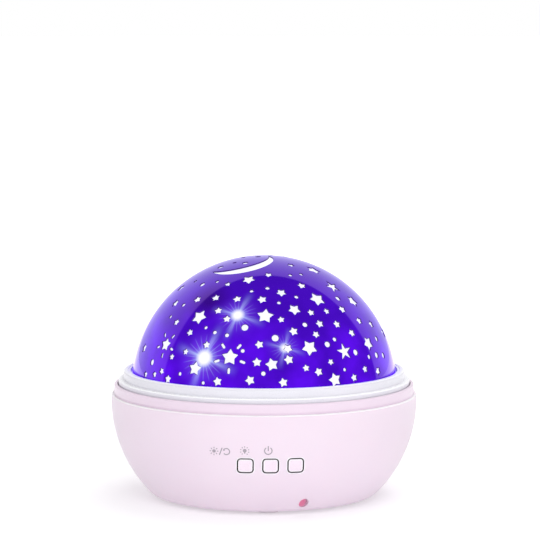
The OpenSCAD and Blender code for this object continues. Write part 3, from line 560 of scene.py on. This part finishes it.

# ---- Lamp post and lamps ----
# A hollow white post is screwed to the deck; the hub turns on it, and it carries the lamp board.
# Five clear beads glow on a white board with small solder pads.
# The white finish has a painted highlight, a pale line at the top edge of the dish and of the collar.
white_satin = moulded_plastic("white_satin", (0.8, 0.785, 0.85), (0.78, 0.77, 0.835), 0.3)
dish_top = 48.2 * MM
collar_top = 51.9 * MM
# painted highlights along the top edges of the dish and of the collar
for edge_low, edge_high in ((dish_top - 0.4 * MM, dish_top + 0.05 * MM),
                            (collar_top - 0.35 * MM, collar_top + 0.1 * MM)):
    painted_light_band(white_satin, edge_low, edge_high, (0.97, 0.97, 1))
dress(white_satin, "white_plastic", "lamp_post", "post_cap")
lamp_mask, tree, shader = new_finish("lamp_mask")
pads = tree.nodes.new("ShaderNodeTexVoronoi")
pads.inputs["Scale"].default_value = 350
pads.inputs["Randomness"].default_value = 0.3
tree.links.new(place(tree), pads.inputs["Vector"])
pad_shape = spread(tree, pads.outputs["Distance"], 1, 0, 0.2, 0.24)
pad_colour = blend_colours(tree, pad_shape, (0.82, 0.82, 0.8), (0.7, 0.68, 0.62))
tree.links.new(pad_colour, shader.inputs["Base Color"])
tree.links.new(spread(tree, pad_shape, 0.45, 0.25, 0, 1), shader.inputs["Roughness"])
dress(lamp_mask, "white_board", "led_board")
bead_glow, tree, shader = new_finish("bead_glow")
heart = spread(tree, cloud(tree, 0.003, 1), 0, 1)
tree.links.new(blend_colours(tree, heart, (0.5, 0.48, 0.36), (0.4, 0.45, 0.6)), shader.inputs["Base Color"])
tree.links.new(blend_colours(tree, heart, (1, 0.97, 0.9), (0.8, 0.85, 1)), shader.inputs["Emission Color"])
shader.inputs["Emission Strength"].default_value = 0.6
shader.inputs["Roughness"].default_value = 0.15
dress(bead_glow, "lamp_bead", "leds")

# ---- Motor ----
# A plated gear motor hangs under the deck by two ears and turns the pinion, 6 to 1.
# Pinion and ring gear are natural nylon.
motor_can = plated_metal("motor_can", (0.66, 0.65, 0.62), 0.3)
dress(motor_can, "steel", "gear_motor")
nylon = moulded_plastic("nylon", (0.85, 0.83, 0.75), (0.8, 0.78, 0.7), 0.42)
dress(nylon, "gear_plastic", "drive_pinion", "ring_gear")

# ---- Turntable and collar ----
# The white dish turns inside the pink ring, and the dome's collar locks on it with three lugs.
# Both are white mouldings with a cool tint and rounded edges.
dress(white_satin, "white_plastic", "turntable", "dome_collar")

# ---- Clear dome and its mirror skin ----
# A clear dome glows where the violet metallised skin on it is left open: stars, dots, a crescent;
# that glow is painted light for the lamps inside. The skin is a deep violet mirror whose own glow is
# painted light for the lamps shining through it. It shows the bright room as a paler band, and
# painted glints with rays where a lamp stands behind it; a patch and its top are painted darker, as shade.
dome_low, dome_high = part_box("star_skin")
dome_radius = 53.9 * MM
dome_centre = Vector((0, 0, dome_high.z - dome_radius))
skin_inside = dome_radius - 0.4 * MM
rim_shown = 0.22 * MM
seat_z = dome_low.z + 0.05 * MM
too_short = 1e-9


def dome_point(turn, height):
    """A point on the dome: degrees right of the front, and degrees above its centre."""
    turn, height = math.radians(turn), math.radians(height)
    return dome_centre + dome_radius * Vector((math.sin(turn) * math.cos(height),
                                               -math.cos(turn) * math.cos(height), math.sin(height)))


# painted glints, where a lamp shines through: degrees right of the front, degrees above the dome's centre,
# and strength
painted_glint_spots = ((-30, 20, 1.0), (-17, 40, 0.8), (7, 25, 0.6), (150, 20, 0.9), (163, 40, 0.8), (187, 25, 0.6))
ray_turn = 0.6
ray_thinness = 24


def dot_with(tree, vector, way):
    """How far a vector runs along a way."""
    node = tree.nodes.new("ShaderNodeVectorMath")
    node.operation = "DOT_PRODUCT"
    tree.links.new(vector, node.inputs[0])
    node.inputs[1].default_value = way
    return node.outputs["Value"]


def gap_to(tree, spot):
    """The way from a spot to the point being shaded, and its length."""
    gap = tree.nodes.new("ShaderNodeVectorMath")
    gap.operation = "SUBTRACT"
    tree.links.new(place(tree), gap.inputs[0])
    gap.inputs[1].default_value = spot
    size = tree.nodes.new("ShaderNodeVectorMath")
    size.operation = "LENGTH"
    tree.links.new(gap.outputs["Vector"], size.inputs[0])
    return gap.outputs["Vector"], size.outputs["Value"]


def painted_lamp_glint(tree, reach, fade, rays=0):
    """Painted glint: how near a point of the dome is to where a lamp shines through, as thin rays if asked.
    """
    total = 0.0
    for turn, height, power in painted_glint_spots:
        spot = dome_point(turn, height)
        across = Vector((math.cos(math.radians(turn)), math.sin(math.radians(turn)), 0))
        up = (spot - dome_centre).normalized().cross(across)
        gap, size = gap_to(tree, spot)
        fall = spread(tree, size, 1, 0, 0, reach * power)
        fall = sum_of(tree, fall, fade, "POWER")
        if rays:
            angle = sum_of(tree, dot_with(tree, gap, up), dot_with(tree, gap, across), "ARCTAN2")
            angle = sum_of(tree, sum_of(tree, angle, rays / 2, "MULTIPLY"), ray_turn)
            comb = sum_of(tree, sum_of(tree, angle, 0, "COSINE"), 0, "ABSOLUTE")
            comb = sum_of(tree, comb, ray_thinness, "POWER")
            fall = sum_of(tree, fall, comb, "MULTIPLY")
        total = sum_of(tree, total, sum_of(tree, fall, power, "MULTIPLY"))
    return total


violet_mirror, tree, shader = new_finish("violet_mirror")
depths = spread(tree, cloud(tree, 0.016, 3), 0, 1, 0.35, 0.68)
deep = blend_colours(tree, depths, (0.045, 0.001, 0.46), (0.1, 0.003, 0.82))
level_z = tree.nodes.new("ShaderNodeSeparateXYZ")
tree.links.new(place(tree), level_z.inputs[0])
# painted shade: the skin's glow darkens towards the top
painted_top_shade = spread(tree, level_z.outputs["Z"], 0, 1, 66 * MM, 92 * MM)
deep = blend_colours(tree, painted_top_shade, deep, (0.04, 0.001, 0.4))
# painted shade: a darker patch in the glow, left of the front and high up
painted_dark_patch = spread(tree, gap_to(tree, dome_point(-38, 47))[1], 1, 0, 2 * MM, 11 * MM)
deep = blend_colours(tree, painted_dark_patch, deep, (0.025, 0.001, 0.2))
glow = deep
# painted glints: halos and rays round each lamp spot, and a white core
for reach, fade, count, tone in ((14 * MM, 2.2, 0, (0.3, 0.12, 1.0)), (16 * MM, 1.5, 4, (0.5, 0.6, 1.0)),
                                 (10 * MM, 1.2, 22, (0.42, 0.5, 1.0)), (6 * MM, 1.5, 0, (0.5, 0.75, 1.0))):
    glow = blend_colours(tree, painted_lamp_glint(tree, reach, fade, count), glow, tone)
core = sum_of(tree, painted_lamp_glint(tree, 4 * MM, 1.2), 2.4, "MULTIPLY")
lit = blend_colours(tree, core, glow, (1.0, 1.0, 1.0))
# the skin's glow is painted light, standing in for the lamps shining through it
tree.links.new(lit, shader.inputs["Emission Color"])
shader.inputs["Emission Strength"].default_value = 1.0
shader.inputs["Base Color"].default_value = (0.012, 0.002, 0.05, 1)
shader.inputs["Roughness"].default_value = 0.06
shader.inputs["IOR"].default_value = 1.85
shader.inputs["Specular Tint"].default_value = (0.5, 0.05, 0.9, 1)
rim_violet, tree, shader = new_finish("rim_violet")
edge_tone = spread(tree, cloud(tree, 0.003, 2), 0, 1)
tree.links.new(blend_colours(tree, edge_tone, (0.05, 0.01, 0.2), (0.09, 0.02, 0.32)),
               shader.inputs["Base Color"])
shader.inputs["Roughness"].default_value = 0.4

bpy.ops.object.select_all(action="DESELECT")
mirror_skin = nodes["star_skin"].copy()
mirror_skin.data = nodes["star_skin"].data.copy()
mirror_skin.name = "mirror_skin"
mirror_skin.parent = None
bpy.context.scene.collection.objects.link(mirror_skin)
for key in list(mirror_skin.keys()):
    del mirror_skin[key]
bpy.context.view_layer.objects.active = mirror_skin
mirror_skin.select_set(True)
bpy.ops.mesh.customdata_custom_splitnormals_clear()
bpy.ops.object.mode_set(mode="EDIT")
bpy.ops.mesh.select_all(action="SELECT")
bpy.ops.mesh.remove_doubles(threshold=0.002 * MM)
bpy.ops.object.mode_set(mode="OBJECT")
mirror_skin.data.materials.clear()
mirror_skin.data.materials.append(violet_mirror)
mirror_skin.data.materials.append(rim_violet)

# the wall of each window leans out, so that it shows as a thin dark outline
skin = bmesh.new()
skin.from_mesh(mirror_skin.data)


def far_in(vertex):
    return (vertex.co - dome_centre).length < skin_inside + 0.1 * MM


def is_inner(face):
    return all(far_in(v) for v in face.verts)


def is_outer(face):
    return not any(far_in(v) for v in face.verts)


lean = {}
for edge in skin.edges:
    outer = [f for f in edge.link_faces if is_outer(f)]
    walls = [f for f in edge.link_faces if not is_inner(f) and not is_outer(f)]
    if len(outer) != 1 or len(walls) != 1 or min(v.co.z for v in edge.verts) < seat_z:
        continue
    run = (edge.verts[1].co - edge.verts[0].co).normalized()
    back = outer[0].calc_center_median() - edge.verts[0].co
    back -= back.dot(run) * run
    if back.length > too_short:
        for vertex in edge.verts:
            lean[vertex] = lean.get(vertex, Vector()) + back.normalized() * edge.calc_length()
for face in skin.faces:
    face.smooth = True
    if not is_inner(face) and not is_outer(face):
        face.material_index = 1
        face.smooth = False
for vertex, direction in lean.items():
    if direction.length > too_short:
        vertex.co += direction.normalized() * rim_shown
skin.to_mesh(mirror_skin.data)
skin.free()
round_normals = []
for polygon in mirror_skin.data.polygons:
    for corner in polygon.loop_indices:
        position = mirror_skin.data.vertices[mirror_skin.data.loops[corner].vertex_index].co
        outward = (position - dome_centre).normalized()
        inside = (polygon.center - dome_centre).length < skin_inside
        if polygon.material_index == 1:
            round_normals.append(polygon.normal.copy())
        else:
            round_normals.append(-outward if inside else outward)
mirror_skin.data.normals_split_custom_set(round_normals)
mirror_skin.select_set(False)
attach(mirror_skin, "dome")
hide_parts("star_skin")

# painted light: the clear dome glows for the lamps inside, painted whiter near each lamp's glint
window_glow, tree, shader = new_finish("window_glow")
milk = spread(tree, cloud(tree, 0.012, 2), 0, 1)
pale = blend_colours(tree, milk, (0.93, 0.93, 1.0), (0.8, 0.86, 0.97))
window_lit = blend_colours(tree, painted_lamp_glint(tree, 12 * MM, 2.2), pale, (1, 1, 1))
tree.links.new(window_lit, shader.inputs["Emission Color"])
shader.inputs["Emission Strength"].default_value = 0.85
shader.inputs["Base Color"].default_value = (0.25, 0.25, 0.28, 1)
shader.inputs["Roughness"].default_value = 0.25
dress(window_glow, "clear_dome", "dome_cover")

# ---- Floor, lamps and room ----
# A pale floor runs off to a white room and lights the object a little from below. Two wide soft
# lamps light it from above, and a third fills in from low in front.
# In a reflection the room is bright behind the object and dark in front, as in a photo studio.
bpy.ops.mesh.primitive_circle_add(vertices=96, radius=6, fill_type="NGON", location=(0, 0, 0))
floor = bpy.context.object
floor.name = "floor"
floor_finish, tree, shader = new_finish("floor_white")
shader.inputs["Base Color"].default_value = (0.82, 0.82, 0.83, 1)
shader.inputs["Roughness"].default_value = 0.9
shader.inputs["Specular IOR Level"].default_value = 0.1
path = tree.nodes.new("ShaderNodeLightPath").outputs
seen = sum_of(tree, path["Is Glossy Ray"], path["Is Transmission Ray"], "MAXIMUM")
seen = sum_of(tree, path["Is Camera Ray"], seen, "MAXIMUM")
bounce = 0.7
shader.inputs["Emission Color"].default_value = (1, 1, 1, 1)
far_out = tree.nodes.new("ShaderNodeVectorMath")
far_out.operation = "LENGTH"
tree.links.new(place(tree), far_out.inputs[0])
own_white = spread(tree, far_out.outputs["Value"], 0.32, 1, 0.12, 0.6)
shown = sum_of(tree, seen, bounce, "MAXIMUM")
tree.links.new(sum_of(tree, shown, own_white, "MULTIPLY"), shader.inputs["Emission Strength"])
only(floor_finish, floor)

room = bpy.data.worlds.new("room")
bpy.context.scene.world = room
bpy.context.scene.view_settings.view_transform = "Standard"
room.use_nodes = True
tree = room.node_tree
background = tree.nodes["Background"]
direction = tree.nodes.new("ShaderNodeTexCoord")
split = tree.nodes.new("ShaderNodeSeparateXYZ")
tree.links.new(direction.outputs["Generated"], split.inputs[0])

# the bright room starts a little behind the object, farther back to the right and overhead
edge_back = 0.28
edge_slant = 0.10
edge_overhead = 0.45
edge_blur = 0.015
dark_level = 0.03
plain_level = 0.6
up_power = sum_of(tree, split.outputs["Z"], 4, "POWER")
edge_place = sum_of(tree, sum_of(tree, sum_of(tree, split.outputs["X"], edge_slant, "MULTIPLY"), edge_back),
                    sum_of(tree, up_power, edge_overhead, "MULTIPLY"))
behind = sum_of(tree, split.outputs["Y"], edge_place, "SUBTRACT")
bright = spread(tree, behind, dark_level, 1.0, -edge_blur, edge_blur)

# reflections see the two halves, the other light is even, and the camera sees plain white
path = tree.nodes.new("ShaderNodeLightPath").outputs
mirrored = path["Is Glossy Ray"]
even = sum_of(tree, sum_of(tree, 1, mirrored, "SUBTRACT"), plain_level, "MULTIPLY")
level = sum_of(tree, sum_of(tree, mirrored, bright, "MULTIPLY"), even)
clear_view = sum_of(tree, path["Is Camera Ray"], path["Is Transmission Ray"], "MAXIMUM")
level = sum_of(tree, level, clear_view, "MAXIMUM")
tree.links.new(level, background.inputs["Strength"])
background.inputs["Color"].default_value = (1, 1, 1, 1)


def soft_lamp(name, where, size, power):
    """A square lamp that faces the object and doesn't show in its gloss."""
    away = Vector(where) - aim
    bpy.ops.object.light_add(type="AREA", location=where, rotation=away.to_track_quat("Z", "Y").to_euler())
    lamp = bpy.context.object
    lamp.name = name
    lamp.data.size = size
    lamp.data.energy = power
    lamp.visible_glossy = False


soft_lamp("key_lamp", (0, -1.1, 1.0), 1.0, 3.6)
soft_lamp("low_lamp", (0.15, -1.2, 0.05), 0.8, 4.5)
soft_lamp("top_lamp", (0.3, 0.3, 1.4), 1.0, 6)
